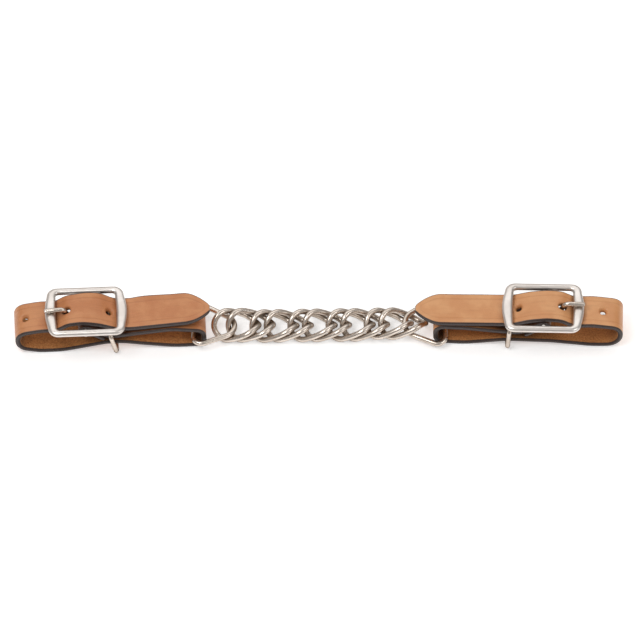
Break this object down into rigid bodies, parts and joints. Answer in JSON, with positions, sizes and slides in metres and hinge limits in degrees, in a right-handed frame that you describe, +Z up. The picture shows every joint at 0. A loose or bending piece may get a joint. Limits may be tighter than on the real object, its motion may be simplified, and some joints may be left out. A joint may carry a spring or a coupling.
{
  "type": "curb strap",
  "caption": "Western leather curb strap: two folded, buckled leather ends joined by triangular rings and a flat double-link curb chain.",
  "frame": {"origin": "on the surface that the strap lies on, under the middle of its bounding box", "axes": "+X along the strap towards the right end, +Y across it, +Z up off the surface"},
  "size_m": [0.2558, 0.0288, 0.0206],
  "materials": {
    "left_leather": "oiled harness leather with dark edges",
    "right_leather": "oiled harness leather with dark edges",
    "nickel_plate": "nickel plated, polished",
    "steel_wire": "plated steel wire",
    "rivet_steel": "plain"
  },
  "bodies": {
    "left_leather": {"left_strap": "left_leather", "left_fold_rivet": "rivet_steel"},
    "left_frame": {"left_buckle_frame": "nickel_plate"},
    "left_tongue": {"left_buckle_tongue": "steel_wire"},
    "left_keeper": {"left_keeper": "steel_wire"},
    "left_ring": {"left_ring": "steel_wire"},
    "chain_link_01": {"chain_link_01": "steel_wire"},
    "chain_link_02": {"chain_link_02": "steel_wire"},
    "chain_link_03": {"chain_link_03": "steel_wire"},
    "chain_link_04": {"chain_link_04": "steel_wire"},
    "chain_link_05": {"chain_link_05": "steel_wire"},
    "chain_link_06": {"chain_link_06": "steel_wire"},
    "chain_link_07": {"chain_link_07": "steel_wire"},
    "chain_link_08": {"chain_link_08": "steel_wire"},
    "chain_link_09": {"chain_link_09": "steel_wire"},
    "chain_link_10": {"chain_link_10": "steel_wire"},
    "right_ring": {"right_ring": "steel_wire"},
    "right_leather": {"right_strap": "right_leather", "right_fold_rivet": "rivet_steel"},
    "right_frame": {"right_buckle_frame": "nickel_plate"},
    "right_tongue": {"right_buckle_tongue": "steel_wire"},
    "right_keeper": {"right_keeper": "steel_wire"}
  },
  "joints": [
    {"name": "left_ring_turn", "type": "hinge", "parent": "left_leather", "child": "left_ring", "pos_m": [-0.0518, 0.0015, 0.00435], "axis": [0.0889, 0.9929, -0.0784], "range_deg": [-15, 25]},
    {"name": "chain_01_bend", "type": "hinge", "parent": "left_ring", "child": "chain_link_01", "pos_m": [-0.0364, 0.00087, 0.0045], "axis": [-0.0154, 0.9999, 0], "range_deg": [-8, 8]},
    {"name": "chain_02_bend", "type": "hinge", "parent": "chain_link_01", "child": "chain_link_02", "pos_m": [-0.03148, 0.00095, 0.00486], "axis": [-0.0154, 0.9999, 0], "range_deg": [-4, 4]},
    {"name": "chain_03_bend", "type": "hinge", "parent": "chain_link_02", "child": "chain_link_03", "pos_m": [-0.02347, 0.00107, 0.00448], "axis": [-0.0154, 0.9999, 0], "range_deg": [-11, 8]},
    {"name": "chain_04_bend", "type": "hinge", "parent": "chain_link_03", "child": "chain_link_04", "pos_m": [-0.01547, 0.00119, 0.0041], "axis": [-0.0154, 0.9999, 0], "range_deg": [-4, 4]},
    {"name": "chain_05_bend", "type": "hinge", "parent": "chain_link_04", "child": "chain_link_05", "pos_m": [-0.00747, 0.00131, 0.0041], "axis": [-0.0154, 0.9999, 0], "range_deg": [-14, 14]},
    {"name": "chain_06_bend", "type": "hinge", "parent": "chain_link_05", "child": "chain_link_06", "pos_m": [0.00052, 0.00144, 0.0041], "axis": [-0.0154, 0.9999, 0], "range_deg": [-4, 4]},
    {"name": "chain_07_bend", "type": "hinge", "parent": "chain_link_06", "child": "chain_link_07", "pos_m": [0.00852, 0.00156, 0.0041], "axis": [-0.0154, 0.9999, 0], "range_deg": [-14, 14]},
    {"name": "chain_08_bend", "type": "hinge", "parent": "chain_link_07", "child": "chain_link_08", "pos_m": [0.01653, 0.00168, 0.0041], "axis": [-0.0154, 0.9999, 0], "range_deg": [-4, 4]},
    {"name": "chain_09_bend", "type": "hinge", "parent": "chain_link_08", "child": "chain_link_09", "pos_m": [0.02453, 0.00181, 0.00441], "axis": [-0.0154, 0.9999, 0], "range_deg": [-12, 11]},
    {"name": "chain_10_bend", "type": "hinge", "parent": "chain_link_09", "child": "chain_link_10", "pos_m": [0.03252, 0.00193, 0.00465], "axis": [-0.0154, 0.9999, 0], "range_deg": [-4, 4]},
    {"name": "right_ring_bend", "type": "hinge", "parent": "chain_link_10", "child": "right_ring", "pos_m": [0.0374, 0.002, 0.0045], "axis": [-0.0154, 0.9999, 0], "range_deg": [-8, 8]},
    {"name": "right_leather_turn", "type": "hinge", "parent": "right_ring", "child": "right_leather", "pos_m": [0.0527, 0.00275, 0.005], "axis": [-0.0829, 0.9842, 0.1563], "range_deg": [-15, 9]},
    {"name": "left_buckle_tilt", "type": "hinge", "parent": "left_leather", "child": "left_frame", "pos_m": [-0.09789, -0.00126, 0.01295], "axis": [-0.0471, 0.9989, 0], "range_deg": [-1.2, 0]},
    {"name": "left_tongue_swing", "type": "hinge", "parent": "left_leather", "child": "left_tongue", "pos_m": [-0.09789, -0.00126, 0.01295], "axis": [-0.0471, 0.9989, 0], "range_deg": [0, 5]},
    {"name": "left_keeper_slide", "type": "slide", "parent": "left_leather", "child": "left_keeper", "axis": [0.9989, 0.0471, 0], "range_m": [-0.0008, 0.004]},
    {"name": "right_buckle_tilt", "type": "hinge", "parent": "right_leather", "child": "right_frame", "pos_m": [0.0945, 0.00154, 0.01225], "axis": [0.0227, 0.9997, 0], "range_deg": [0, 1.1]},
    {"name": "right_tongue_swing", "type": "hinge", "parent": "right_leather", "child": "right_tongue", "pos_m": [0.0945, 0.00154, 0.01225], "axis": [0.0227, 0.9997, 0], "range_deg": [-4.8, 0]},
    {"name": "right_keeper_slide", "type": "slide", "parent": "right_leather", "child": "right_keeper", "axis": [0.9997, -0.0227, 0], "range_m": [-0.0028, 0.003]}
  ]
}
